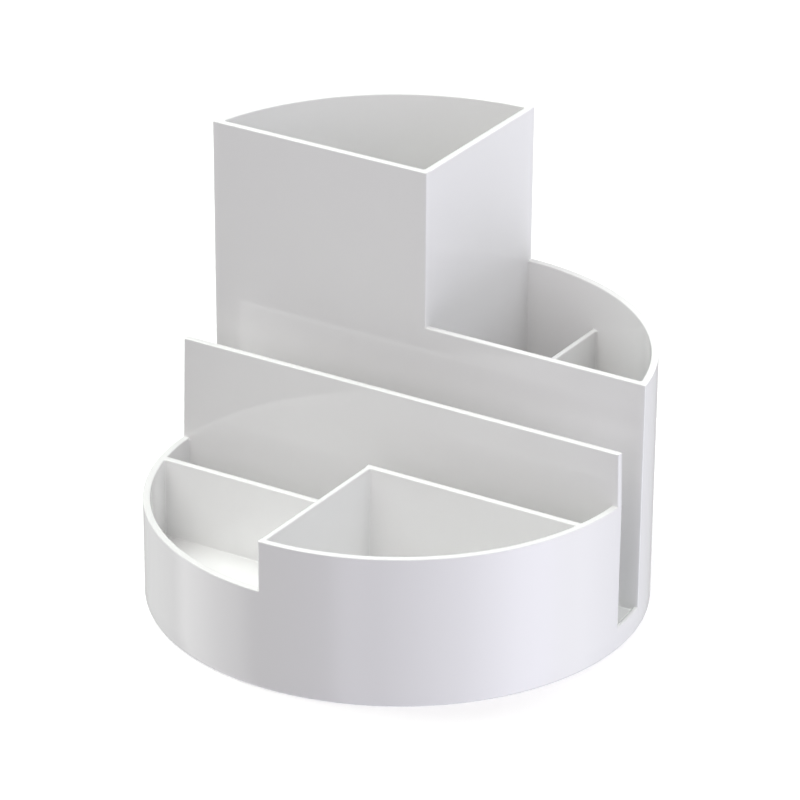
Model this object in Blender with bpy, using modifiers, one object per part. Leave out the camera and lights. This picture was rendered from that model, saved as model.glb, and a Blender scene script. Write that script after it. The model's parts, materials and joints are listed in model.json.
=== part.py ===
"""Round desk organizer: a low round drum, divided by upright walls into seven open compartments.

Metres, +Z up. The origin is the centre of the round base, on the desk. X runs along the letter slot and
Y runs from the low tray in front to the tall pen cup behind. Every wall is its own object and stands on
the base with a small gap, so the pieces meet face to face without touching.
"""

import math

import bpy
import bmesh
from mathutils import Matrix, Vector

# The drum, whose outer surface leans outwards a little so that it leaves its mould.
BASE_RADIUS = 0.0700
DRAFT_SLOPE = 0.0075  # radius gained for each unit of height
WALL = 0.0020  # curved walls, letter slot walls, cup side wall and note slot wall
RIB = 0.0015  # the two low dividers
GAP = 0.0003  # left between pieces that meet
SEGMENTS = 144  # facets round the drum
SHARPEST_SMOOTH_ANGLE = math.radians(30)
GLOSS_WHITE = (0.80, 0.80, 0.81)
GLOSS_ROUGHNESS = 0.18

# Heights above the desk.
CUP_HEIGHT = 0.1198
REAR_HEIGHT = 0.0739
REAR_DIVIDER_HEIGHT = 0.0604
LETTER_WALL_HEIGHT = 0.0597
FRONT_HEIGHT = 0.0442
TRAY_HEIGHT = 0.0293

# The base: a floor with a skirt below it, which is what the organizer stands on.
FLOOR_TOP = 0.0058
FLOOR_THICKNESS = 0.0020
SKIRT_THICKNESS = 0.0020
BOTTOM_EDGE_RADIUS = 0.0010
BOTTOM_EDGE_FACETS = 4
SILL_HEIGHT = 0.0013  # the low lip across each open end of the letter slot, above the floor
SILL_TOP_WIDTH = 0.0006
SILL_FOOT_DEPTH = 0.0008  # how far the lip is rooted in the floor

# Where the walls stand.
LETTER_WALL_FRONT_Y = -0.0016
LETTER_SLOT_WIDTH = 0.0132
NOTE_SLOT_WIDTH = 0.0134
STEP_X = 0.0  # the cup, the tray and both stepped walls change height here
REAR_DIVIDER_X = 0.0240
FREE_END_LEAN = 0.0195  # the letter wall's ends lean in by this much for each unit of height

LETTER_WALL_BACK_Y = LETTER_WALL_FRONT_Y + WALL
REAR_WALL_FRONT_Y = LETTER_WALL_BACK_Y + LETTER_SLOT_WIDTH
REAR_WALL_BACK_Y = REAR_WALL_FRONT_Y + WALL
NOTE_WALL_BACK_Y = LETTER_WALL_FRONT_Y - NOTE_SLOT_WIDTH
NOTE_WALL_FRONT_Y = NOTE_WALL_BACK_Y - WALL
WALL_FOOT = FLOOR_TOP + GAP

CUTTER_MARGIN = 0.0200  # how far every cutter reaches past what it cuts
REACH = BASE_RADIUS + DRAFT_SLOPE * CUP_HEIGHT + CUTTER_MARGIN
CUTTER_TOP = max(CUP_HEIGHT, REAR_HEIGHT, LETTER_WALL_HEIGHT, FRONT_HEIGHT) + CUTTER_MARGIN


def drum_radius(z):
    """Radius of the drum's outer surface at height z."""
    return BASE_RADIUS + DRAFT_SLOPE * z


def new_collection(name):
    collection = bpy.data.collections.new(name)
    bpy.context.scene.collection.children.link(collection)
    return collection


def plastic(name, colour, roughness):
    """Opaque moulded plastic: a Principled BSDF with one colour."""
    material = bpy.data.materials.new(name)
    material.use_nodes = True
    shader = material.node_tree.nodes["Principled BSDF"]
    shader.inputs["Base Color"].default_value = (*colour, 1.0)
    shader.inputs["Roughness"].default_value = roughness
    shader.inputs["Metallic"].default_value = 0.0
    return material


def add_object(name, mesh, collection, location=(0, 0, 0)):
    obj = bpy.data.objects.new(name, mesh)
    obj.location = location
    collection.objects.link(obj)
    return obj


def box(name, low, high, collection):
    """A box between two corners, with its object at the box's centre."""
    low, high = Vector(low), Vector(high)
    mesh = bpy.data.meshes.new(name)
    solid = bmesh.new()
    bmesh.ops.create_cube(solid, size=1, matrix=Matrix.Diagonal((*(high - low), 1)))
    solid.to_mesh(mesh)
    solid.free()
    return add_object(name, mesh, collection, (low + high) / 2)


def turned(name, profile, collection, is_ring):
    """A profile of (radius, height) points, listed down its outer side, turned about Z.

    A ring's profile is closed by one more edge. Any other profile starts and ends on the axis.
    """
    edges = [(i, i + 1) for i in range(len(profile) - 1)]
    if is_ring:
        edges.append((len(profile) - 1, 0))
    mesh = bpy.data.meshes.new(name)
    mesh.from_pydata([(radius, 0, z) for radius, z in profile], edges, [])
    obj = add_object(name, mesh, collection)
    screw = obj.modifiers.new("turn", "SCREW")
    screw.axis = "Z"
    screw.angle = math.tau
    screw.steps = SEGMENTS
    screw.render_steps = SEGMENTS
    screw.use_merge_vertices = True
    screw.merge_threshold = 0.00001
    screw.use_smooth_shade = False
    return obj


def combine(obj, operation, other):
    modifier = obj.modifiers.new(f"{operation.lower()}_{other.name}", "BOOLEAN")
    modifier.operation = operation
    modifier.object = other
    modifier.solver = "EXACT"


def hide(helper):
    helper.hide_render = True
    helper.display_type = "WIRE"
    return helper


def make_cutters(collection):
    """The solids that trim the walls: the drum inside and out, and boxes for the steps and the ends."""
    bottom, top = -CUTTER_MARGIN, CUTTER_TOP

    def round_cutter(name, inset):
        profile = [
            (0, top),
            (drum_radius(top) - inset, top),
            (drum_radius(bottom) - inset, bottom),
            (0, bottom),
        ]
        return turned(name, profile, collection, is_ring=False)

    front_half_end = LETTER_WALL_FRONT_Y - GAP
    rear_half_end = REAR_WALL_BACK_Y + GAP
    cutters = {
        "drum": round_cutter("drum_outside", 0),
        "bore": round_cutter("drum_inside", WALL + GAP),
        "behind_front": box(
            "behind_front_wall", (-REACH, front_half_end, bottom), (REACH, REACH, top), collection
        ),
        "ahead_of_rear": box(
            "ahead_of_rear_wall", (-REACH, -REACH, bottom), (REACH, rear_half_end, top), collection
        ),
        "rear_step": box(
            "rear_step", (STEP_X, LETTER_WALL_BACK_Y, REAR_HEIGHT), (REACH, REACH, top), collection
        ),
        "tray_step": box(
            "tray_step", (-REACH, -REACH, TRAY_HEIGHT), (STEP_X, LETTER_WALL_FRONT_Y, top), collection
        ),
        "before_slot": box(
            "before_letter_slot",
            (-REACH, -REACH, bottom),
            (REACH, LETTER_WALL_BACK_Y + GAP, top),
            collection,
        ),
        "behind_slot": box(
            "behind_letter_slot",
            (-REACH, REAR_WALL_FRONT_Y - GAP, bottom),
            (REACH, REACH, top),
            collection,
        ),
    }
    for cutter in cutters.values():
        hide(cutter)
    return cutters


def make_slot_sills(cutters, collection):
    """A low lip that carries the drum's surface across both open ends of the letter slot.

    Its outer side is flush with the drum, and its inner side slopes down to the floor at 45 degrees.
    """
    crest = FLOOR_TOP + SILL_HEIGHT
    crest_radius = drum_radius(crest)
    inner_foot = crest_radius - SILL_TOP_WIDTH - SILL_HEIGHT
    profile = [
        (crest_radius, crest),
        (drum_radius(FLOOR_TOP), FLOOR_TOP),
        (drum_radius(FLOOR_TOP) - SILL_TOP_WIDTH, FLOOR_TOP - SILL_FOOT_DEPTH),
        (inner_foot, FLOOR_TOP - SILL_FOOT_DEPTH),
        (inner_foot, FLOOR_TOP),
        (crest_radius - SILL_TOP_WIDTH, crest),
    ]
    sills = turned("slot_sills", profile, collection, is_ring=True)
    combine(sills, "DIFFERENCE", cutters["before_slot"])
    combine(sills, "DIFFERENCE", cutters["behind_slot"])
    return hide(sills)


def make_base(sills, collection):
    """A round pan, open below: the floor, and the skirt that it stands on, with a rounded bottom edge."""
    bend_radius = drum_radius(BOTTOM_EDGE_RADIUS) - BOTTOM_EDGE_RADIUS
    turns = [math.pi / 2 * i / BOTTOM_EDGE_FACETS for i in range(BOTTOM_EDGE_FACETS + 1)]
    bottom_edge = [
        (
            bend_radius + BOTTOM_EDGE_RADIUS * math.cos(turn),
            BOTTOM_EDGE_RADIUS * (1 - math.sin(turn)),
        )
        for turn in turns
    ]
    underside = FLOOR_TOP - FLOOR_THICKNESS
    skirt_inner = BASE_RADIUS - SKIRT_THICKNESS
    profile = [
        (0, FLOOR_TOP),
        (drum_radius(FLOOR_TOP), FLOOR_TOP),
        *bottom_edge,
        (skirt_inner, 0),
        (skirt_inner, underside),
        (0, underside),
    ]
    base = turned("base", profile, collection, is_ring=False)
    combine(base, "UNION", sills)
    return base


def make_outer_wall(name, height, cutters, collection):
    """A curved wall of the drum, trimmed by the cutters named."""
    profile = [
        (drum_radius(height), height),
        (drum_radius(WALL_FOOT), WALL_FOOT),
        (drum_radius(WALL_FOOT) - WALL, WALL_FOOT),
        (drum_radius(height) - WALL, height),
    ]
    wall = turned(name, profile, collection, is_ring=True)
    for cutter in cutters:
        combine(wall, "DIFFERENCE", cutter)
    return wall


def make_letter_front_wall(drum, collection):
    """The free-standing wall across the drum. Above the outer walls its ends lean in."""
    wall = box(
        "letter_front_wall",
        (-REACH, LETTER_WALL_FRONT_Y, WALL_FOOT),
        (REACH, LETTER_WALL_BACK_Y, LETTER_WALL_HEIGHT),
        collection,
    )
    for vertex in wall.data.vertices:
        z = vertex.co.z + wall.location.z
        joined_height = TRAY_HEIGHT if vertex.co.x < 0 else FRONT_HEIGHT
        half_length = math.sqrt(drum_radius(joined_height) ** 2 - LETTER_WALL_FRONT_Y**2)
        half_length += FREE_END_LEAN * (joined_height - z)
        vertex.co.x = math.copysign(half_length, vertex.co.x)
    combine(wall, "INTERSECT", drum)
    return wall


def make_flat_wall(name, low, high, collection, trim, step=None):
    """An upright plate, trimmed to the drum inside or out, and stepped where its height changes."""
    wall = box(name, low, high, collection)
    combine(wall, "INTERSECT", trim)
    if step:
        combine(wall, "DIFFERENCE", step)
    return wall


def finish(parts):
    """Makes each part's modifiers its mesh, smooth round the drum and sharp at its corners, and colours it."""
    bpy.context.view_layer.update()
    graph = bpy.context.evaluated_depsgraph_get()
    for part in parts:
        mesh = bpy.data.meshes.new_from_object(part.evaluated_get(graph))
        mesh.name = part.name
        mesh.shade_smooth()
        mesh.set_sharp_from_angle(angle=SHARPEST_SMOOTH_ANGLE)
        mesh.materials.clear()
        mesh.materials.append(plastic(f"{part.name}_polystyrene", GLOSS_WHITE, GLOSS_ROUGHNESS))
        part.modifiers.clear()
        part.data = mesh


def main():
    for obj in list(bpy.data.objects):
        bpy.data.objects.remove(obj)
    parts = new_collection("desk_organizer")
    helpers = new_collection("cutters")
    cutters = make_cutters(helpers)
    sills = make_slot_sills(cutters, helpers)

    make_base(sills, parts)
    make_outer_wall(
        "front_outer_wall", FRONT_HEIGHT, [cutters["behind_front"], cutters["tray_step"]], parts
    )
    make_outer_wall(
        "rear_outer_wall", CUP_HEIGHT, [cutters["ahead_of_rear"], cutters["rear_step"]], parts
    )
    make_letter_front_wall(cutters["drum"], parts)
    make_flat_wall(
        "letter_rear_wall",
        (-REACH, REAR_WALL_FRONT_Y, WALL_FOOT),
        (REACH, REAR_WALL_BACK_Y, CUP_HEIGHT),
        parts,
        trim=cutters["drum"],
        step=cutters["rear_step"],
    )
    make_flat_wall(
        "note_slot_wall",
        (-REACH, NOTE_WALL_FRONT_Y, WALL_FOOT),
        (REACH, NOTE_WALL_BACK_Y, FRONT_HEIGHT),
        parts,
        trim=cutters["bore"],
        step=cutters["tray_step"],
    )
    make_flat_wall(
        "cup_side_wall",
        (STEP_X - WALL, REAR_WALL_BACK_Y + GAP, WALL_FOOT),
        (STEP_X, REACH, CUP_HEIGHT),
        parts,
        trim=cutters["bore"],
    )
    make_flat_wall(
        "rear_divider",
        (REAR_DIVIDER_X, REAR_WALL_BACK_Y + GAP, WALL_FOOT),
        (REAR_DIVIDER_X + RIB, REACH, REAR_DIVIDER_HEIGHT),
        parts,
        trim=cutters["bore"],
    )
    make_flat_wall(
        "front_divider",
        (STEP_X, -REACH, WALL_FOOT),
        (STEP_X + RIB, NOTE_WALL_FRONT_Y - GAP, FRONT_HEIGHT),
        parts,
        trim=cutters["bore"],
    )
    finish(parts.objects)


main()
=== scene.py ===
"""A round white desk organizer, moulded in gloss polystyrene, with its light table, lights and camera.

Each wall is a slab: its two faces are worked out on one grid of columns and heights and then joined round
their edges. Where a face nears a rim it draws back along a quarter circle, and where it nears the floor or
another wall it swells out along one, so that rims are rounded and inner corners are filled.
"""

import json
import math
from collections import namedtuple

import bpy
import numpy as np
from bpy.props import FloatProperty, IntProperty, PointerProperty, StringProperty
from mathutils import Matrix, Vector


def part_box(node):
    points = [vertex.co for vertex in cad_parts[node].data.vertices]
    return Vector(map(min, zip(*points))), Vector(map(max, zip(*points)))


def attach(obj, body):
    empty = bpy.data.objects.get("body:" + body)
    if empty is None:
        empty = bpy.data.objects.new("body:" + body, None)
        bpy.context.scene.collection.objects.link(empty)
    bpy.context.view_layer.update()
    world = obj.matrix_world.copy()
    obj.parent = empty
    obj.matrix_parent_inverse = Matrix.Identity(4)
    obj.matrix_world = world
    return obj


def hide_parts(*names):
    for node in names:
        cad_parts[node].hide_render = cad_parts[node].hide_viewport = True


bl_info = {
    "name": "Round Desk Organizer",
    "version": (1, 0, 0),
    "blender": (4, 5, 0),
    "location": "View3D > Sidebar > Organizer",
    "description": "Makes the moulded walls, the floor and the studio of a round desk organizer",
    "category": "Add Mesh",
}

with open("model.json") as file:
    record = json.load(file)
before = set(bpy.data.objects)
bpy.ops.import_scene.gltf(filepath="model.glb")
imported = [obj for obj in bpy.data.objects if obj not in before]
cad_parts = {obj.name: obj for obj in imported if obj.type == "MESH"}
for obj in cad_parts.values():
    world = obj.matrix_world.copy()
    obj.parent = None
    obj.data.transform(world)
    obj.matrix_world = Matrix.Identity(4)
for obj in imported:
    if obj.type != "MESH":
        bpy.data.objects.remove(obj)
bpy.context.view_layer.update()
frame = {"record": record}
MM = 0.001

FRONT_WALL, REAR_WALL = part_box("front_outer_wall"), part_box("rear_outer_wall")
LETTER_FRONT, LETTER_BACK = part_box("letter_front_wall"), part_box("letter_rear_wall")
NOTE_WALL, CUP_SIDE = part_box("note_slot_wall"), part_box("cup_side_wall")
REAR_RIB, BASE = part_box("rear_divider"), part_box("base")
OPENING_TOPS = {o["name"]: o["box_m"][1][2] for o in frame["record"]["physics"]["openings"]}
CAD_GAP = 0.3 * MM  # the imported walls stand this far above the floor
DRUM_SLOPE = (REAR_WALL[1].y + FRONT_WALL[0].y) / (REAR_WALL[1].z - FRONT_WALL[1].z)

# How far a wall runs on into what it meets, and how far it sinks below the surface there, so that the
# meeting shows no gap and no two faces lie in one plane.
RUN_ON = 0.3 * MM
SINK = 0.01 * MM
FOOT_SHARE = 0.9  # the filling along the floor, as a share of that in the upright corners
SMALLEST_RADIUS = 0.02 * MM  # no rounding is set smaller than this

# How the surfaces are parted into columns and rows.
TOUCHING = 1e-9  # places closer than this are one place
NEAREST = 1e-7  # columns or rows closer than this are made one
FLAT_FROM = 1.5  # the first column or row on the flat beside a rounding, in radii from the edge
FLAT_ABOVE_FOOT = 1.5 * MM  # the row that does the same above the filling along the floor
COLUMN_SPACING = 8 * MM
CREASE = math.radians(35)  # faces that meet at more than this keep a crisp edge between them


def length_property(name, description, default, low=0.0):
    """A length in metres, shown in the scene's own unit."""
    return FloatProperty(
        name=name,
        description=description,
        default=default,
        min=low,
        subtype="DISTANCE",
        unit="LENGTH",
        precision=5,
    )


def place_property(name, description, default):
    """A place along X or Y, in metres from the middle: a length that may also be negative."""
    return length_property(name, description, default, low=-1.0)


def angle_property(name, description, degrees):
    """An angle, kept in radians and shown in degrees."""
    turn = math.radians(degrees)
    return FloatProperty(name=name, description=description, default=turn, subtype="ANGLE", unit="ROTATION")


def colour_property(name, description, default):
    """A colour, written as sRGB hex."""
    return StringProperty(name=name, description=f"{description}, as sRGB hex", default=default)


# ---------------------------------------------------------------------------------------- properties


class OrganizerSizes(bpy.types.PropertyGroup):
    """Sizes of the moulding. Heights are above the desk, X runs along the letter slot and +Y to the back."""

    foot_radius: length_property(
        "Foot radius", "The drum's radius on the desk", -FRONT_WALL[0].y - DRUM_SLOPE * FRONT_WALL[1].z
    )
    slope: FloatProperty(
        name="Wall slope",
        description="Radius that the drum gains for each unit of height",
        default=DRUM_SLOPE,
    )
    wall: length_property(
        "Wall", "Thickness of the drum and of the long walls", LETTER_FRONT[1].y - LETTER_FRONT[0].y
    )
    floor_top: length_property("Floor height", "Upper side of the floor", FRONT_WALL[0].z - CAD_GAP)
    floor_thickness: length_property("Floor thickness", "Thickness of the floor above the skirt", 2 * MM)
    sill_top: length_property("Sill height", "Lip across both open ends of the letter slot", BASE[1].z)
    sill_width: length_property("Sill width", "Width of the lip's level top", 0.6 * MM)
    cup_height: length_property("Pen cup height", "Rim of the tall cup", REAR_WALL[1].z)
    rear_height: length_property(
        "Rear height", "Rim of the rear compartments", OPENING_TOPS["rear_side_wide"]
    )
    rear_rib_height: length_property("Rear rib height", "Top of the low rear divider", REAR_RIB[1].z)
    letter_height: length_property(
        "Letter wall height", "Top of the letter slot's front wall", LETTER_FRONT[1].z
    )
    front_height: length_property("Front height", "Rim of the front compartment", FRONT_WALL[1].z)
    tray_height: length_property("Tray height", "Rim of the clip tray", OPENING_TOPS["front_tray_wide"])
    letter_front_y: place_property("Letter wall place", "Front of the slot's front wall", LETTER_FRONT[0].y)
    letter_back_y: place_property("Slot back place", "Front of the slot's rear wall", LETTER_BACK[0].y)
    note_wall_y: place_property("Note wall place", "Front of the note slot's wall", NOTE_WALL[0].y)
    step_x: place_property("Step place", "Where the rims change height", CUP_SIDE[1].x)
    rear_rib_x: place_property("Rear rib place", "Left side of the rear divider", REAR_RIB[0].x)
    rib: length_property("Rib", "Thickness of the two low dividers", REAR_RIB[1].x - REAR_RIB[0].x)
    lean: FloatProperty(
        name="Lean",
        description="How far the letter wall's free ends lean in, per unit of height",
        default=0.0195,
    )
    rim_radius: length_property(
        "Rim radius", "Rounding along both sides of a free edge", 0.35 * MM, SMALLEST_RADIUS
    )
    fillet_radius: length_property(
        "Fillet radius", "Filling in the inner corners", 0.5 * MM, SMALLEST_RADIUS
    )
    bottom_radius: length_property(
        "Bottom radius", "Rounding of the skirt's lower edge", 1.0 * MM, SMALLEST_RADIUS
    )
    corner_steps: IntProperty(
        name="Corner steps", description="Faces across a rounding", default=5, min=1, max=12
    )
    drum_steps: IntProperty(
        name="Drum steps", description="Faces round the whole drum", default=360, min=48, max=1440
    )


class OrganizerFinish(bpy.types.PropertyGroup):
    """Colour and surface of the plastic."""

    colour: colour_property("Colour", "The plastic's colour", "#F7F7F7")
    flow_colour: colour_property("Flow colour", "Colour of the faint flow marks in the plastic", "#F5F5F5")
    flow_spacing: length_property("Flow spacing", "Width of those flow marks", 28 * MM)
    roughness: FloatProperty(
        name="Roughness",
        description="Roughness of the moulded skin",
        default=0.06,
        min=0.0,
        max=1.0,
        subtype="FACTOR",
    )
    swell_spacing: length_property("Swell spacing", "Distance between the skin's slow swells", 11 * MM)
    swell_height: length_property("Swell height", "Height of those swells", 0.010 * MM)
    pebble_spacing: length_property("Pebble spacing", "Distance between the skin's fine pebbles", 0.9 * MM)
    pebble_height: length_property("Pebble height", "Height of those pebbles", 0.0006 * MM)


class OrganizerStage(bpy.types.PropertyGroup):
    """Light table, lights and camera."""

    table_colour: colour_property("Table colour", "The light table's colour", "#FAFAFA")
    room_colour: colour_property("Room colour", "Colour of the room's soft light", "#FFFFFF")
    card_colour: colour_property("Card colour", "Colour of the right-hand cards", "#F3F2FF")
    room_strength: FloatProperty(
        name="Room strength", description="Brightness of the room's upper half", default=0.27, min=0.0
    )
    table_glow: FloatProperty(
        name="Table glow", description="Light from under the table", default=0.2, min=0.0
    )
    azimuth: angle_property("Azimuth", "The camera's turn from the front towards the right", 31.78)
    elevation: angle_property("Elevation", "The camera's height above the horizon", 25.10)
    roll: angle_property("Roll", "The camera's turn about its line of sight", 0.37)
    distance: length_property("Distance", "From the camera to the point that it looks at", 1.4676)
    lens: FloatProperty(name="Lens", description="Focal length in millimetres", default=241.92, min=1.0)
    aim_height: length_property("Aim height", "Height of the point that the camera looks at", 57.57 * MM)
    aim_shift: place_property("Aim shift", "How far that point lies to the right of the axis", 0.34 * MM)


# ------------------------------------------------------------------------------------------ surfaces


def quarter_round(distance, radius):
    """How far a quarter circle stands off its tangent, at a distance from the rounded edge or corner.

    The radius less the root of (the radius squared less the square of (the radius less the distance)). It
    is the radius at no distance, and nothing from one radius on.
    """
    left = radius - np.clip(distance, 0, radius)
    return radius - np.sqrt(np.maximum(radius**2 - left**2, 0))


def quarter_stations(radius, steps):
    """Distances from the edge that part a quarter circle into equal turns: radius times (1 - cosine)."""
    return radius * (1 - np.cos(np.linspace(0, math.pi / 2, steps + 1)))


def edge_stations(sizes):
    """The distances across a rim's rounding, and one more that keeps the flat beyond it flat."""
    return np.append(quarter_stations(sizes.rim_radius, sizes.corner_steps), FLAT_FROM * sizes.rim_radius)


def in_order(*groups):
    """All the values of the groups, sorted, without repeats."""
    values = np.sort(np.concatenate([np.ravel(group) for group in groups]))
    return values[np.append(True, np.diff(values) > NEAREST)]


def spread(low, high, step):
    """Even values between two ends, without the ends and no further apart than the step."""
    return np.linspace(low, high, max(math.ceil((high - low) / step), 1) + 1)[1:-1]


def slab_faces(keep):
    """Quads of a closed slab: each kept cell on both faces, and a strip wherever one has no neighbour.

    The first face's points come first, column by column, and the second face's after them.
    """
    columns, rows = keep.shape
    near = np.arange((columns + 1) * (rows + 1)).reshape(columns + 1, rows + 1)
    far = near + near.size
    a, b, c, d = near[:-1, :-1], near[1:, :-1], near[1:, 1:], near[:-1, 1:]
    e, f, g, h = far[:-1, :-1], far[1:, :-1], far[1:, 1:], far[:-1, 1:]
    padded = np.pad(keep, 1)
    quads = (
        (keep, (a, b, c, d)),
        (keep, (e, h, g, f)),
        (keep & ~padded[1:-1, :-2], (b, a, e, f)),
        (keep & ~padded[2:, 1:-1], (c, b, f, g)),
        (keep & ~padded[1:-1, 2:], (d, c, g, h)),
        (keep & ~padded[:-2, 1:-1], (a, d, h, e)),
    )
    return np.concatenate([np.stack([corner[where] for corner in quad], 1) for where, quad in quads])


def ring_faces(rows, columns):
    """Quads of a surface turned about an axis, and the triangles that close both its ends.

    The points are numbered ring by ring, and then come the one at the start and the one at the end.
    """
    grid = np.arange(rows * columns).reshape(rows, columns)
    beside = np.roll(grid, -1, axis=1)
    first, last = (np.full(columns, rows * columns + k) for k in (0, 1))
    quads = np.stack([grid[:-1], grid[1:], beside[1:], beside[:-1]], -1).reshape(-1, 4)
    caps = (np.stack([first, grid[0], beside[0]], 1), np.stack([grid[-1], last, beside[-1]], 1))
    return quads, np.concatenate(caps)


def new_piece(name, points, quads, triangles):
    """A closed mesh object at the origin, holding the points that its faces use, with its faces outwards.

    The volume inside is a sixth of the summed triple products of its triangles: if that is negative, the
    faces look inwards and are turned round.
    """
    halves = np.concatenate([quads[:, [0, 1, 2]], quads[:, [0, 2, 3]], triangles])
    if np.linalg.det(points[halves]).sum() < 0:
        quads, triangles = quads[:, ::-1], triangles[:, ::-1]
    used, renumbered = np.unique(np.concatenate([quads.ravel(), triangles.ravel()]), return_inverse=True)
    quads = renumbered[: quads.size].reshape(-1, 4)
    triangles = renumbered[quads.size :].reshape(-1, 3)
    mesh = bpy.data.meshes.new(name)
    mesh.from_pydata(points[used].tolist(), [], quads.tolist() + triangles.tolist())
    mesh.validate()
    mesh.shade_smooth()
    mesh.set_sharp_from_angle(angle=CREASE)
    piece = bpy.data.objects.new(name, mesh)
    bpy.context.scene.collection.objects.link(piece)
    return piece


def slab(name, near, far, keep):
    """A closed slab between two faces, each an array of columns by rows by 3."""
    points = np.concatenate([near.reshape(-1, 3), far.reshape(-1, 3)])
    return new_piece(name, points, slab_faces(keep), np.empty((0, 3), int))


def finish_piece(piece, node, material):
    """The piece gets its plastic, and stands for its node of the frame."""
    piece.data.materials.append(material)
    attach(piece, "root")
    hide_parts(node)


# --------------------------------------------------------------------------------------------- walls

# How one side of a flat wall ends. face is where it meets another wall's flat face, or None for the drum's
# inner surface, and top is the rim of what it meets. filled says whether the corner has a filling, or else
# this side runs on level with what it meets. Above that rim the side runs on level, or stands free and
# reaches the drum's outer surface.
End = namedtuple("End", "face top filled free", defaults=(False,))


def drum_radius(sizes, z):
    """Radius of the drum's outer surface: its radius on the desk, plus its slope times the height."""
    return sizes.foot_radius + sizes.slope * z


def foot_swell(sizes, z):
    """How far a wall swells out just above the floor, as the quarter circle that fills the corner there."""
    return quarter_round(z - sizes.floor_top, FOOT_SHARE * sizes.fillet_radius)


def wall_heights(sizes, *tops):
    """The heights of a wall's rows: its sunk foot, the filling along the floor, and each rim's rounding."""
    foot = quarter_stations(FOOT_SHARE * sizes.fillet_radius, sizes.corner_steps)
    rims = [top - edge_stations(sizes) for top in tops]
    above_floor = np.concatenate([[-RUN_ON], foot, [FLAT_ABOVE_FOOT]])
    return in_order(sizes.floor_top + above_floor, *rims)


def rim_distance(past_step, z, low, high, upright_edge):
    """Distance from a point of a stepped wall to its outline, of which the high half lies past the step.

    The larger of two distances: down from the low rim; and, past the step, the lesser of down from the high
    rim and back to the step's upright edge.
    """
    if upright_edge:
        beyond = np.minimum(high - z, past_step)
    else:
        beyond = np.where(past_step > -TOUCHING, high - z, -1.0)
    return np.maximum(low - z, beyond)


def side_end(sizes, z, across, facing, end, top):
    """The outermost columns of one side of a flat wall, as (along, across), outermost first.

    Along grows outwards, and facing is the way that the side looks, 1 or -1. Both this side and the face
    that it meets are first moved by their own swelling and rounding. A filled corner is the arc that
    touches both: its centre lies one radius inside each, and it turns from square to the other face to
    square to this side. A level end stops at the corner. A free one is rounded towards its edge, and lies
    sunk behind the end of the drum's wall up to the row just above that wall's rim.
    """
    inset = edge_stations(sizes)[:, None]
    foot = foot_swell(sizes, z)
    joined = z <= end.top + TOUCHING
    side = across + facing * (foot - quarter_round(top - z, sizes.rim_radius))
    swell = foot - quarter_round(np.where(joined, end.top, top) - z, sizes.rim_radius)
    radius = sizes.fillet_radius - foot
    centre_across = side + facing * radius
    if end.face is None:
        met = drum_radius(sizes, z) - sizes.wall - swell
        corner = np.sqrt(met**2 - side**2)
        centre_along = np.sqrt((met - radius) ** 2 - centre_across**2)
        outward = np.arctan2(centre_across, centre_along)
        buried = (met + RUN_ON) * np.cos(outward), (met + RUN_ON) * np.sin(outward)
    else:
        corner = end.face - swell
        centre_along = corner - radius
        outward = np.zeros_like(z)
        buried = corner + RUN_ON, centre_across
    turn = np.linspace(1, 0, sizes.corner_steps + 1)[:, None]
    angle = outward * turn - facing * math.pi / 2 * (1 - turn)
    along = np.vstack([corner + RUN_ON, corner - inset[:-1]])
    over = np.vstack([side - facing * SINK, np.tile(side, (len(inset) - 1, 1))])
    if end.filled:
        along = np.where(joined, np.vstack([buried[0], centre_along + radius * np.cos(angle)]), along)
        over = np.where(joined, np.vstack([buried[1], centre_across + radius * np.sin(angle)]), over)
    if end.free:
        stands = z > end.top - sizes.rim_radius - TOUCHING
        sunk = SINK * (z <= end.top + SINK + TOUCHING)
        edge = across - facing * (sunk + quarter_round(np.minimum(inset, top - z), sizes.rim_radius))
        reach = np.sqrt(drum_radius(sizes, np.minimum(z, end.top)) ** 2 - edge**2)
        along = np.where(stands, reach - sizes.lean * np.maximum(z - end.top, 0) - inset, along)
        over = np.where(stands, edge, over)
    return along, over


def flat_side(sizes, z, across, facing, ends, line, heights, upright_edge):
    """One side of a flat wall, as (along, across, height), in columns by rows.

    Between the columns of its two ends the side is a plane, which draws back at its rims and swells at the
    floor. The outermost columns lie a little low, except where they stand free.
    """
    low, high = sorted(heights)
    line = np.broadcast_to(line[:, None], (len(line), len(z)))
    past_step = (line - sizes.step_x) * (1 if heights[1] > heights[0] else -1)
    distance = high - z if low == high else rim_distance(past_step, z, low, high, upright_edge)
    plane = np.broadcast_to(foot_swell(sizes, z) - quarter_round(distance, sizes.rim_radius), line.shape)
    before = side_end(sizes, z, across, facing, ends[0], heights[0])
    after = side_end(sizes, z, across, facing, ends[1], heights[1])
    along = np.vstack([-before[0], line, after[0][::-1]])
    over = np.vstack([before[1], across + facing * plane, after[1][::-1]])
    height = np.tile(z, (len(along), 1))
    for column, end in ((0, ends[0]), (-1, ends[1])):
        height[column] -= SINK * (z < end.top - sizes.rim_radius if end.free else 1)
    return np.stack([along, over, height], -1)


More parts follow.
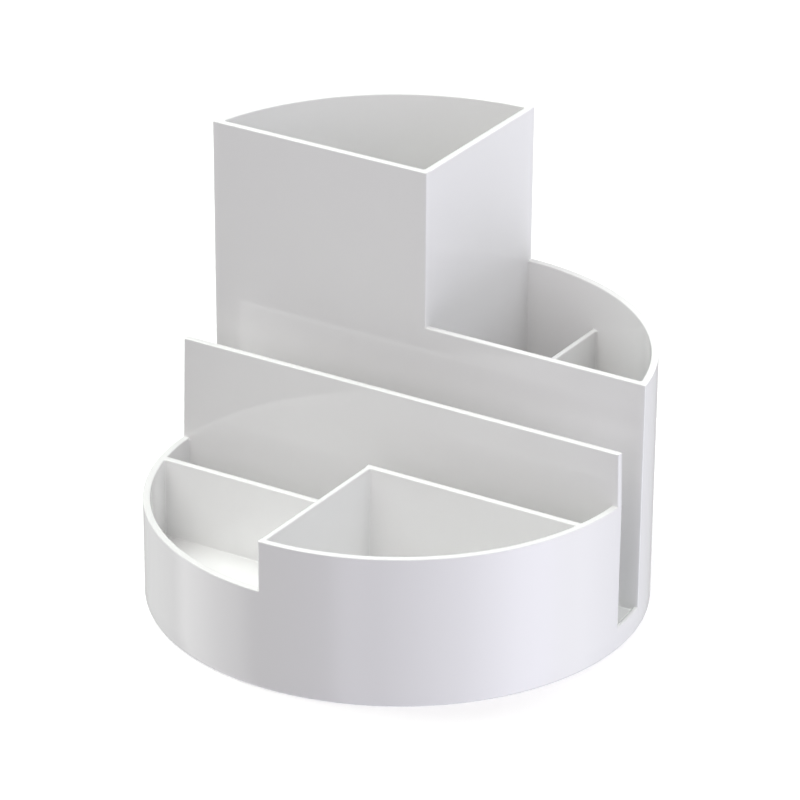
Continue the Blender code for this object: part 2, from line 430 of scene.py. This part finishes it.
def flat_wall(name, sizes, faces, heights, lower_ends, upper_ends, open_step=(True, True), along_x=True):
    """An upright flat wall between two faces across, with the ends of its lower side and its upper side.

    heights are those of its two halves. open_step says on which sides the step's upright edge is free.
    """
    rims = set(heights) | {end.top for end in lower_ends + upper_ends if end.top < max(heights)}
    z = in_order(wall_heights(sizes, *rims), [rim + SINK for rim in rims if rim < max(heights)])
    clear = 2 * sizes.rim_radius + 4 * sizes.fillet_radius  # room for the columns of an end
    bore = math.sqrt((sizes.foot_radius - sizes.wall) ** 2 - max(abs(face) for face in faces) ** 2)
    reach = [(bore if end.face is None else end.face) - clear for end in lower_ends]
    line = in_order(-reach[0], spread(-reach[0], reach[1], COLUMN_SPACING), reach[1])
    if heights[0] != heights[1]:
        # The step has columns across its rounded upright edge, and one just beside it in the low half.
        towards_high = 1 if heights[1] > heights[0] else -1
        step_columns = towards_high * np.append(edge_stations(sizes), -0.6 * sizes.fillet_radius)
        away_from_step = np.abs(line - sizes.step_x) > 1 * MM
        line = in_order(line[away_from_step], sizes.step_x + step_columns)
    sides = [
        flat_side(sizes, z, across, facing, ends, line, heights, is_open)
        for across, facing, ends, is_open in zip(faces, (-1, 1), (lower_ends, upper_ends), open_step)
    ]
    cells = (sides[0][:-1, :-1] + sides[0][1:, 1:]) / 2
    keep = cells[..., 2] < np.where(cells[..., 0] < sizes.step_x, *heights)
    if not along_x:
        sides = [side[..., [1, 0, 2]] for side in sides]
    return slab(name, *sides, keep)


def drum_wall(name, sizes, ahead, end_y, heights, rounds_its_end):
    """A curved wall of the drum, ahead of its end plane (1) or behind it (-1).

    heights are those of its left and its right half.

    A point lies at its radius and at a share of the angle at which that radius reaches the end plane, so the
    wall's ends are flat. The outer radius draws back towards every rim, the inner one only towards the top.
    """
    low, high = sorted(heights)
    z = wall_heights(sizes, low, high)
    half = sizes.foot_radius * math.acos(ahead * end_y / sizes.foot_radius)
    near = edge_stations(sizes) / half
    towards_high = 1 if heights[1] > heights[0] else -1
    even = np.linspace(-1, 1, 2 * round(sizes.drum_steps * half / (math.tau * sizes.foot_radius)) + 1)
    clear = 1.3 * near[-1]  # even columns keep off the columns of a rounding
    even = even[(np.abs(even) > clear) & (np.abs(even) < 1 - clear)]
    share = in_order(even, 0, near * towards_high, 1 - near, near - 1)[:, None]

    past_step = share * half * towards_high
    outline = np.minimum(rim_distance(past_step, z, low, high, True), (1 - np.abs(share)) * half)
    foot = foot_swell(sizes, z)
    sunk = np.where(z < sizes.floor_top - TOUCHING, 2 * RUN_ON, 0)
    outer = drum_radius(sizes, z) - quarter_round(outline, sizes.rim_radius) - sunk
    rim = quarter_round(rim_distance(past_step, z, low, high, False), sizes.rim_radius)
    inner = drum_radius(sizes, z) - sizes.wall - foot + rim
    end = end_y - ahead * foot
    if rounds_its_end:
        end = end + ahead * quarter_round(np.where(share < 0, *heights) - z, sizes.rim_radius)

    def laid(radius):
        """The points at that radius, each turned by its share of the angle to the end plane."""
        turn = share * np.arccos(ahead * end / radius)
        x, y = radius * np.sin(turn), ahead * radius * np.cos(turn)
        return np.stack([x, y, np.broadcast_to(z, turn.shape)], -1)

    middle = (share[:-1] + share[1:]) / 2
    keep = (z[:-1] + z[1:]) / 2 < np.where(middle < 0, *heights)
    return slab(name, laid(outer), laid(inner), keep)


# The floor's rings: places on its flat upper and lower sides, as shares of the drum's radius on the desk.
UPPER_RINGS = (0.06, 0.21, 0.43, 0.64, 0.83, 0.93)
LOWER_RINGS = (0.79, 0.5, 0.21)

# What the mould's gate leaves in the middle of the underside: a shallow dimple with a nub that stands out
# of it. Each point is a radius and a distance below the underside, in millimetres, and the first one keeps
# the flat round the mark flat.
GATE_MARK = ((6.8, 0.0), (6.0, 0.0), (5.4, -0.25), (1.2, -0.25), (1.0, 0.15), (0.35, 0.2))
LIP_RUN = 1.5  # how far the lip's inner side reaches in, as a multiple of its rise
LIP_END_TURN = 1e-4  # the angle over which the rim steps up to the lip at each end of it


def round_floor(name, sizes):
    """The floor and its skirt: a profile turned about Z, with a lip where the letter slot is open.

    The profile runs from the middle of the upper side over the rim, down the skirt and back below, with
    quarter circles at its rim, its lower edge and the skirt's inner corners. Across the slot's ends the rim
    rises as a lip, whose inner side climbs as three times the square less twice the cube of the way up.
    """
    top, crest, width = sizes.floor_top, sizes.sill_top, sizes.sill_width
    rise, rim, step_count = crest - top, sizes.rim_radius, sizes.corner_steps
    crest_radius, top_radius = drum_radius(sizes, crest), drum_radius(sizes, top)
    way_up = np.linspace(0, 1, 9)
    turn = np.linspace(0, math.pi / 2, step_count + 1)
    middle = sizes.foot_radius * np.array(UPPER_RINGS)
    climb = crest_radius - width - LIP_RUN * rise * (1 - way_up)
    edge = crest_radius - rim + rim * np.sin(turn)
    climb_height = top + rise * (3 * way_up**2 - 2 * way_up**3)
    edge_height = crest - rim + rim * np.cos(turn)
    lip = (
        np.concatenate([middle, climb, edge]),
        np.concatenate([np.full_like(middle, top), climb_height, edge_height]),
    )
    plain = (lip[0] * top_radius / crest_radius, np.full_like(lip[0], top))

    bottom, under = sizes.bottom_radius, top - sizes.floor_thickness
    skirt = drum_radius(sizes, bottom) - bottom
    skirt_inner, fillet = sizes.foot_radius - sizes.wall, 2 * sizes.fillet_radius
    small = rim / 2
    lower = sizes.foot_radius * np.array(LOWER_RINGS)
    gate = np.array(GATE_MARK) * MM
    rest_radius = [
        [drum_radius(sizes, top - rim)],
        skirt + bottom * np.cos(turn),
        skirt_inner + small - small * np.sin(turn),
        skirt_inner - fillet + fillet * np.cos(turn),
        lower,
        gate[:, 0],
    ]
    rest_height = [
        [top - rim],
        bottom * (1 - np.sin(turn)),
        small - small * np.cos(turn),
        under - fillet + fillet * np.sin(turn),
        np.full_like(lower, under),
        under - gate[:, 1],
    ]
    rest = np.concatenate(rest_radius), np.concatenate(rest_height)

    slot = np.array([sizes.letter_front_y + sizes.wall, sizes.letter_back_y])
    low, high = np.arcsin((slot + np.array([-2, 2]) * RUN_ON) / top_radius)
    edges = np.array([low - LIP_END_TURN, low, high, high + LIP_END_TURN])
    even = np.arange(sizes.drum_steps) * math.tau / sizes.drum_steps
    angle = in_order(even, edges % math.tau, math.pi - edges)
    side = np.arcsin(np.sin(angle))
    has_lip = ((side > low - LIP_END_TURN / 2) & (side < high + LIP_END_TURN / 2))[:, None]
    radius = np.hstack([np.where(has_lip, lip[0], plain[0]), np.tile(rest[0], (len(angle), 1))]).T
    height = np.hstack([np.where(has_lip, lip[1], plain[1]), np.tile(rest[1], (len(angle), 1))]).T
    ring = np.stack([radius * np.cos(angle), radius * np.sin(angle), height], -1).reshape(-1, 3)
    poles = [[0, 0, top], [0, 0, height[-1, 0]]]
    return new_piece(name, np.vstack([ring, poles]), *ring_faces(*radius.shape))


# -------------------------------------------------------------------------------------------- finish


def linear(hex_colour):
    """An sRGB hex colour as the four linear values that a shader takes."""
    channels = np.array([int(hex_colour[i : i + 2], 16) for i in (1, 3, 5)]) / 255
    low, high = channels / 12.92, ((channels + 0.055) / 1.055) ** 2.4
    return (*np.where(channels <= 0.04045, low, high).tolist(), 1.0)


def add_node(tree, kind, settings=None, inputs=None):
    """A node of that kind with its settings. Each input, by name or identifier, gets a value or a link."""
    node = tree.nodes.new(kind)
    for key, value in (settings or {}).items():
        setattr(node, key, value)
    for key, value in (inputs or {}).items():
        socket = next(s for s in node.inputs if key in (s.name, s.identifier))
        if isinstance(value, bpy.types.NodeSocket):
            tree.links.new(value, socket)
        else:
            socket.default_value = value
    return node


def result_colour(mix):
    """The colour that comes out of a Mix node, which has an output for each kind of data."""
    return next(socket for socket in mix.outputs if socket.identifier == "Result_Color")


def moulded_polystyrene(finish):
    """High-impact polystyrene, injected into a polished steel mould.

    To the eye it is an even, neutral white with a clear gloss. Lights keep their edges in it, but the
    skin's slow swells bend them a little, as does a barely raised pebble. Faint cloudy flow marks change its
    colour by a percent or two and its roughness by about a tenth either way. The plastic flowed upwards into
    the walls, so those marks are about three times as tall as they are wide.
    """
    material = bpy.data.materials.get("gloss_moulded_polystyrene")
    if material:
        return material
    material = bpy.data.materials.new("gloss_moulded_polystyrene")
    material.use_nodes = True
    tree = material.node_tree
    tree.nodes.clear()
    place = add_node(tree, "ShaderNodeTexCoord").outputs["Object"]
    upwards = add_node(tree, "ShaderNodeMapping", inputs={"Vector": place, "Scale": (1.0, 1.0, 0.35)})
    flow = add_node(
        tree,
        "ShaderNodeTexNoise",
        inputs={
            "Vector": upwards.outputs["Vector"],
            "Scale": 1 / finish.flow_spacing,
            "Detail": 3.0,
            "Roughness": 0.5,
        },
    )
    colour = add_node(
        tree,
        "ShaderNodeMix",
        {"data_type": "RGBA"},
        {
            "Factor_Float": flow.outputs["Fac"],
            "A_Color": linear(finish.colour),
            "B_Color": linear(finish.flow_colour),
        },
    )
    gloss = add_node(
        tree,
        "ShaderNodeMapRange",
        inputs={
            "Value": flow.outputs["Fac"],
            "From Min": 0.3,
            "From Max": 0.7,
            "To Min": finish.roughness * 0.9,
            "To Max": finish.roughness * 1.15,
        },
    )
    swells = add_node(
        tree,
        "ShaderNodeTexNoise",
        inputs={"Vector": place, "Scale": 1 / finish.swell_spacing, "Detail": 1.0, "Roughness": 0.4},
    )
    swelled = add_node(
        tree,
        "ShaderNodeBump",
        inputs={"Height": swells.outputs["Fac"], "Distance": finish.swell_height, "Strength": 1.0},
    )
    pebbles = add_node(
        tree,
        "ShaderNodeTexNoise",
        inputs={"Vector": place, "Scale": 1 / finish.pebble_spacing, "Detail": 2.0, "Roughness": 0.5},
    )
    pebbled = add_node(
        tree,
        "ShaderNodeBump",
        inputs={
            "Height": pebbles.outputs["Fac"],
            "Distance": finish.pebble_height,
            "Strength": 1.0,
            "Normal": swelled.outputs["Normal"],
        },
    )
    shader = add_node(
        tree,
        "ShaderNodeBsdfPrincipled",
        inputs={
            "Base Color": result_colour(colour),
            "Roughness": gloss.outputs["Result"],
            "IOR": 1.59,
            "Normal": pebbled.outputs["Normal"],
        },
    )
    add_node(tree, "ShaderNodeOutputMaterial", inputs={"Surface": shader.outputs["BSDF"]})
    return material


def opal_acrylic(stage):
    """The sandblasted opal acrylic of a light table: an even, matt white without gloss.

    Its grain is 0.4 mm wide and 0.002 mm deep. Lamps under it make it glow a little, so that what stands on
    it throws only a faint, soft shadow.
    """
    material = bpy.data.materials.new("matt_opal_acrylic")
    material.use_nodes = True
    tree = material.node_tree
    tree.nodes.clear()
    place = add_node(tree, "ShaderNodeTexCoord").outputs["Object"]
    blasted = add_node(
        tree, "ShaderNodeTexNoise", inputs={"Vector": place, "Scale": 1 / (0.4 * MM), "Detail": 1.0}
    )
    raised = add_node(
        tree,
        "ShaderNodeBump",
        inputs={"Height": blasted.outputs["Fac"], "Distance": 0.002 * MM, "Strength": 0.5},
    )
    shader = add_node(
        tree,
        "ShaderNodeBsdfPrincipled",
        inputs={
            "Base Color": linear(stage.table_colour),
            "Roughness": 0.9,
            "Specular IOR Level": 0.2,
            "Emission Color": linear(stage.table_colour),
            "Emission Strength": stage.table_glow,
            "Normal": raised.outputs["Normal"],
        },
    )
    add_node(tree, "ShaderNodeOutputMaterial", inputs={"Surface": shader.outputs["BSDF"]})
    return material


# --------------------------------------------------------------------------------------------- stage


def make_backdrop(stage):
    """The light table under the organizer: a round sheet that sweeps up into a wall, far off all round.

    The profile is level to the sweep, then a quarter circle, then upright, and is turned about Z. The
    camera sees it, but its light isn't thrown back on the organizer: the room's lower half stands for that.
    """
    sweep, reach, top, columns = 1.0, 4.0, 3.0, 96
    turn = np.linspace(0, math.pi / 2, 17)
    radius = np.concatenate([[0.3, 1.0, 2.0], reach - sweep + sweep * np.sin(turn), [reach]])
    height = np.concatenate([[0, 0, 0], sweep - sweep * np.cos(turn), [top]])
    angle = np.arange(columns) * math.tau / columns
    x, y = np.outer(radius, np.cos(angle)), np.outer(radius, np.sin(angle))
    ring = np.stack([x, y, np.outer(height, np.ones(columns))], -1)
    points = np.vstack([ring.reshape(-1, 3), [[0, 0, 0]]])
    quads, fans = ring_faces(len(radius), columns)
    mesh = bpy.data.meshes.new("backdrop_sheet")
    mesh.from_pydata(points.tolist(), [], quads[:, ::-1].tolist() + fans[:columns, ::-1].tolist())
    mesh.shade_smooth()
    mesh.materials.append(opal_acrylic(stage))
    sheet = bpy.data.objects.new("backdrop_sheet", mesh)
    sheet.visible_diffuse = sheet.visible_glossy = sheet.visible_shadow = False
    bpy.context.scene.collection.objects.link(sheet)


def way_out(azimuth, elevation):
    """The direction out from the organizer at an azimuth and an elevation, both in radians.

    The azimuth turns from the front, which is -Y, towards the right, which is +X.
    """
    level = math.cos(elevation)
    return Vector((math.sin(azimuth) * level, -math.cos(azimuth) * level, math.sin(elevation)))


def make_soft_box(name, azimuth, elevation, size, strength, colour):
    """A rectangular area light that faces the organizer. Its power is its strength times its area."""
    away = way_out(math.radians(azimuth), math.radians(elevation))
    light = bpy.data.lights.new(name, "AREA")
    light.shape = "RECTANGLE"
    light.size, light.size_y = size
    light.color = linear(colour)[:3]
    light.energy = strength * WATTS_PER_AREA * size[0] * size[1]
    lamp = bpy.data.objects.new(name, light)
    lamp.location = Vector((0, 0, LIGHT_AIM_HEIGHT)) + away * LIGHT_DISTANCE
    lamp.rotation_mode = "QUATERNION"
    lamp.rotation_quaternion = away.to_track_quat("Z", "Y")
    lamp.visible_camera = False
    bpy.context.scene.collection.objects.link(lamp)


# All soft boxes stand this far, in metres, from a point that high above the table, and a strength of one is
# this many watts for each square metre.
LIGHT_DISTANCE, LIGHT_AIM_HEIGHT, WATTS_PER_AREA = 1.4, 0.05, 10

# Each soft box: its name, azimuth and elevation in degrees, size in metres, strength and colour.
SOFT_BOXES = (
    ("top_left_box", -90, 60, (0.8, 0.8), 1.65, "#F8FFFA"),
    ("top_front_box", 0, 60, (0.8, 0.8), 0.62, "#FFF9F1"),
    ("top_right_box", 90, 60, (0.8, 0.8), 0.37, "#FFFFFF"),
    ("top_back_box", 180, 60, (0.8, 0.8), 0.41, "#FFFFFF"),
    ("front_box", 10, 22, (0.6, 0.9), 0.49, "#FFFAFF"),
    ("right_box", 90, 22, (0.9, 0.9), 0.34, "#F2F3FF"),
    ("back_box", 180, 25, (0.9, 0.9), 0.64, "#FFFFFF"),
)

# The table round the organizer, as it shines back on it: azimuth in degrees from the front towards the
# right, and the brightness there. White cards stand on both sides and behind, and the front is left dark.
TABLE_LIGHT = (
    (-180, 0.55), (-150, 0.55), (-110, 0.8), (-90, 0.9), (-80, 1.75), (-67, 1.65), (-58, 1.3), (-45, 0.85),
    (-36, 0.0), (-1, 0.0), (4, 0.4), (8, 0.75), (16, 0.5), (22, 0.15), (35, 0.3), (47, 0.5), (60, 0.75),
    (70, 1.3), (83, 1.9), (88, 2.2), (102, 2.2), (112, 1.5), (124, 1.4), (135, 0.9), (150, 0.6), (180, 0.55),
)  # fmt: skip
COOLER_CARDS = (2, 110)  # the right-hand cards, between these azimuths, are a cooler white
HORIZON = 0.01  # the room's halves blend into each other from this far below the horizon to as far above


def make_room(stage):
    """The room's light: an even upper half, and a lower half whose brightness changes with azimuth.

    The arc tangent of X and -Y is the azimuth, and a share of the full turn finds its place on the ramp.
    The ramp's colours stay within one, because they are divided by the brightest card's light, which the
    background's strength then multiplies them by.
    """
    world = bpy.data.worlds.new("studio_room")
    bpy.context.scene.world = world
    world.use_nodes = True
    tree = world.node_tree
    background = tree.nodes["Background"]
    way = add_node(tree, "ShaderNodeTexCoord").outputs["Generated"]
    parts = add_node(tree, "ShaderNodeSeparateXYZ", inputs={"Vector": way})
    forward = add_node(
        tree, "ShaderNodeMath", {"operation": "MULTIPLY"}, {"Value": parts.outputs["Y"], "Value_001": -1.0}
    )
    azimuth = add_node(
        tree,
        "ShaderNodeMath",
        {"operation": "ARCTAN2"},
        {"Value": parts.outputs["X"], "Value_001": forward.outputs["Value"]},
    )
    share = add_node(
        tree,
        "ShaderNodeMapRange",
        inputs={"Value": azimuth.outputs["Value"], "From Min": -math.pi, "From Max": math.pi},
    )
    cards = add_node(tree, "ShaderNodeValToRGB", inputs={"Fac": share.outputs["Result"]})
    brightest = max(light for _, light in TABLE_LIGHT)
    room = linear(stage.room_colour)
    ramp = cards.color_ramp
    for degrees, _ in TABLE_LIGHT[1:-1]:
        ramp.elements.new((degrees + 180) / 360)
    for element, (degrees, light) in zip(ramp.elements, TABLE_LIGHT):
        cooler = COOLER_CARDS[0] < degrees < COOLER_CARDS[1]
        white = linear(stage.card_colour) if cooler else room
        element.color = [channel * light / brightest for channel in white[:3]] + [1.0]
    is_above = add_node(
        tree,
        "ShaderNodeMapRange",
        inputs={"Value": parts.outputs["Z"], "From Min": -HORIZON, "From Max": HORIZON},
    )
    shine = add_node(
        tree,
        "ShaderNodeMix",
        {"data_type": "RGBA"},
        {
            "Factor_Float": is_above.outputs["Result"],
            "A_Color": cards.outputs["Color"],
            "B_Color": [channel * stage.room_strength / brightest for channel in room[:3]] + [1.0],
        },
    )
    tree.links.new(result_colour(shine), background.inputs["Color"])
    background.inputs["Strength"].default_value = brightest


def make_camera(stage):
    """The camera, at its distance from the point that it looks at, along its azimuth and elevation.

    back points from that point to the camera, right is level, and up is square to both. Then right and up
    turn about back by the roll.
    """
    back = way_out(stage.azimuth, stage.elevation)
    right = Vector((math.cos(stage.azimuth), math.sin(stage.azimuth), 0))
    aim = right * stage.aim_shift + Vector((0, 0, stage.aim_height))
    axes = Matrix((right, back.cross(right), back)).transposed()
    axes = axes @ Matrix.Rotation(stage.roll, 3, "Z")
    data = bpy.data.cameras.new("studio_camera")
    data.sensor_width = 36.0
    data.lens = stage.lens
    data.clip_start, data.clip_end = 0.05, 20.0
    camera = bpy.data.objects.new("studio_camera", data)
    camera.matrix_world = Matrix.Translation(aim + back * stage.distance) @ axes.to_4x4()
    bpy.context.scene.collection.objects.link(camera)
    bpy.context.scene.camera = camera


# ----------------------------------------------------------------------------------------- operators


def sizes_and_plastic(context):
    """The scene's sizes and the plastic that every piece is moulded in."""
    return context.scene.organizer_sizes, moulded_polystyrene(context.scene.organizer_finish)


class ORGANIZER_OT_floor(bpy.types.Operator):
    """Make the round floor with its skirt and the lips across the letter slot's ends"""

    bl_idname = "organizer.floor"
    bl_label = "Make Floor"

    def execute(self, context):
        sizes, plastic = sizes_and_plastic(context)
        finish_piece(round_floor("round_floor", sizes), "base", plastic)
        return {"FINISHED"}


class ORGANIZER_OT_drum_walls(bpy.types.Operator):
    """Make the curved walls: the low one round the front and the tall one round the back"""

    bl_idname = "organizer.drum_walls"
    bl_label = "Make Drum Walls"

    def execute(self, context):
        sizes, plastic = sizes_and_plastic(context)
        front = drum_wall(
            "front_drum_wall",
            sizes,
            -1,
            sizes.letter_front_y + sizes.wall,
            (sizes.tray_height, sizes.front_height),
            rounds_its_end=False,
        )
        rear = drum_wall(
            "rear_drum_wall",
            sizes,
            1,
            sizes.letter_back_y,
            (sizes.cup_height, sizes.rear_height),
            rounds_its_end=True,
        )
        finish_piece(front, "front_outer_wall", plastic)
        finish_piece(rear, "rear_outer_wall", plastic)
        return {"FINISHED"}


class ORGANIZER_OT_slot_walls(bpy.types.Operator):
    """Make the long walls: both sides of the letter slot and the front of the note slot"""

    bl_idname = "organizer.slot_walls"
    bl_label = "Make Slot Walls"

    def execute(self, context):
        sizes, plastic = sizes_and_plastic(context)
        tray, front, letter = sizes.tray_height, sizes.front_height, sizes.letter_height
        cup, rear, wall = sizes.cup_height, sizes.rear_height, sizes.wall
        letter_front = flat_wall(
            "letter_slot_front",
            sizes,
            (sizes.letter_front_y, sizes.letter_front_y + wall),
            (letter, letter),
            (End(None, tray, True, True), End(None, front, True, True)),
            (End(None, tray, False, True), End(None, front, False, True)),
        )
        letter_back = flat_wall(
            "letter_slot_back",
            sizes,
            (sizes.letter_back_y, sizes.letter_back_y + wall),
            (cup, rear),
            (End(None, cup, False), End(None, rear, False)),
            (End(None, cup, True), End(None, rear, True)),
            open_step=(True, False),
        )
        note_front = flat_wall(
            "note_slot_front",
            sizes,
            (sizes.note_wall_y, sizes.note_wall_y + wall),
            (tray, front),
            (End(None, tray, True), End(None, front, True)),
            (End(None, tray, True), End(None, front, True)),
            open_step=(False, True),
        )
        finish_piece(letter_front, "letter_front_wall", plastic)
        finish_piece(letter_back, "letter_rear_wall", plastic)
        finish_piece(note_front, "note_slot_wall", plastic)
        return {"FINISHED"}


class ORGANIZER_OT_dividers(bpy.types.Operator):
    """Make the short walls: the pen cup's side, the rear rib and the front rib"""

    bl_idname = "organizer.dividers"
    bl_label = "Make Dividers"

    def execute(self, context):
        sizes, plastic = sizes_and_plastic(context)
        front, cup, rear = sizes.front_height, sizes.cup_height, sizes.rear_height
        rear_face, front_face = -(sizes.letter_back_y + sizes.wall), sizes.note_wall_y
        cup_side = flat_wall(
            "pen_cup_side",
            sizes,
            (sizes.step_x - sizes.wall, sizes.step_x),
            (cup, cup),
            (End(rear_face, cup, True), End(None, cup, True)),
            (End(rear_face, rear, True), End(None, rear, True)),
            along_x=False,
        )
        rear_rib = flat_wall(
            "rear_rib",
            sizes,
            (sizes.rear_rib_x, sizes.rear_rib_x + sizes.rib),
            (sizes.rear_rib_height, sizes.rear_rib_height),
            (End(rear_face, rear, True), End(None, rear, True)),
            (End(rear_face, rear, True), End(None, rear, True)),
            along_x=False,
        )
        front_rib = flat_wall(
            "front_rib",
            sizes,
            (sizes.step_x, sizes.step_x + sizes.rib),
            (front, front),
            (End(None, sizes.tray_height, True), End(front_face, sizes.tray_height, True)),
            (End(None, front, True), End(front_face, front, True)),
            along_x=False,
        )
        finish_piece(cup_side, "cup_side_wall", plastic)
        finish_piece(rear_rib, "rear_divider", plastic)
        finish_piece(front_rib, "front_divider", plastic)
        return {"FINISHED"}


class ORGANIZER_OT_stage(bpy.types.Operator):
    """Make the light table, the soft lights, the room and the camera"""

    bl_idname = "organizer.stage"
    bl_label = "Make Stage"

    def execute(self, context):
        stage = context.scene.organizer_stage
        make_backdrop(stage)
        make_room(stage)
        for box in SOFT_BOXES:
            make_soft_box(*box)
        make_camera(stage)
        context.scene.view_settings.view_transform = "Standard"
        return {"FINISHED"}


class ORGANIZER_PT_panel(bpy.types.Panel):
    """Lists the organizer's pieces and its stage"""

    bl_idname = "ORGANIZER_PT_panel"
    bl_label = "Round Desk Organizer"
    bl_space_type = "VIEW_3D"
    bl_region_type = "UI"
    bl_category = "Organizer"

    def draw(self, context):
        for settings in (
            context.scene.organizer_sizes,
            context.scene.organizer_finish,
            context.scene.organizer_stage,
        ):
            box = self.layout.box()
            for name in settings.bl_rna.properties.keys():
                if name not in ("rna_type", "name"):
                    box.prop(settings, name)
        for operator in MAKERS:
            self.layout.operator(operator.bl_idname)


SETTINGS = (OrganizerSizes, OrganizerFinish, OrganizerStage)
MAKERS = (
    ORGANIZER_OT_floor,
    ORGANIZER_OT_drum_walls,
    ORGANIZER_OT_slot_walls,
    ORGANIZER_OT_dividers,
    ORGANIZER_OT_stage,
)
CLASSES = (*SETTINGS, *MAKERS, ORGANIZER_PT_panel)


def register():
    for cls in CLASSES:
        bpy.utils.register_class(cls)
    bpy.types.Scene.organizer_sizes = PointerProperty(type=OrganizerSizes)
    bpy.types.Scene.organizer_finish = PointerProperty(type=OrganizerFinish)
    bpy.types.Scene.organizer_stage = PointerProperty(type=OrganizerStage)


def unregister():
    del bpy.types.Scene.organizer_sizes
    del bpy.types.Scene.organizer_finish
    del bpy.types.Scene.organizer_stage
    for cls in reversed(CLASSES):
        bpy.utils.unregister_class(cls)


def main():
    """Registers the classes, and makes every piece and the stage."""
    register()
    bpy.ops.organizer.floor()
    bpy.ops.organizer.drum_walls()
    bpy.ops.organizer.slot_walls()
    bpy.ops.organizer.dividers()
    bpy.ops.organizer.stage()


if __name__ == "__main__":
    main()
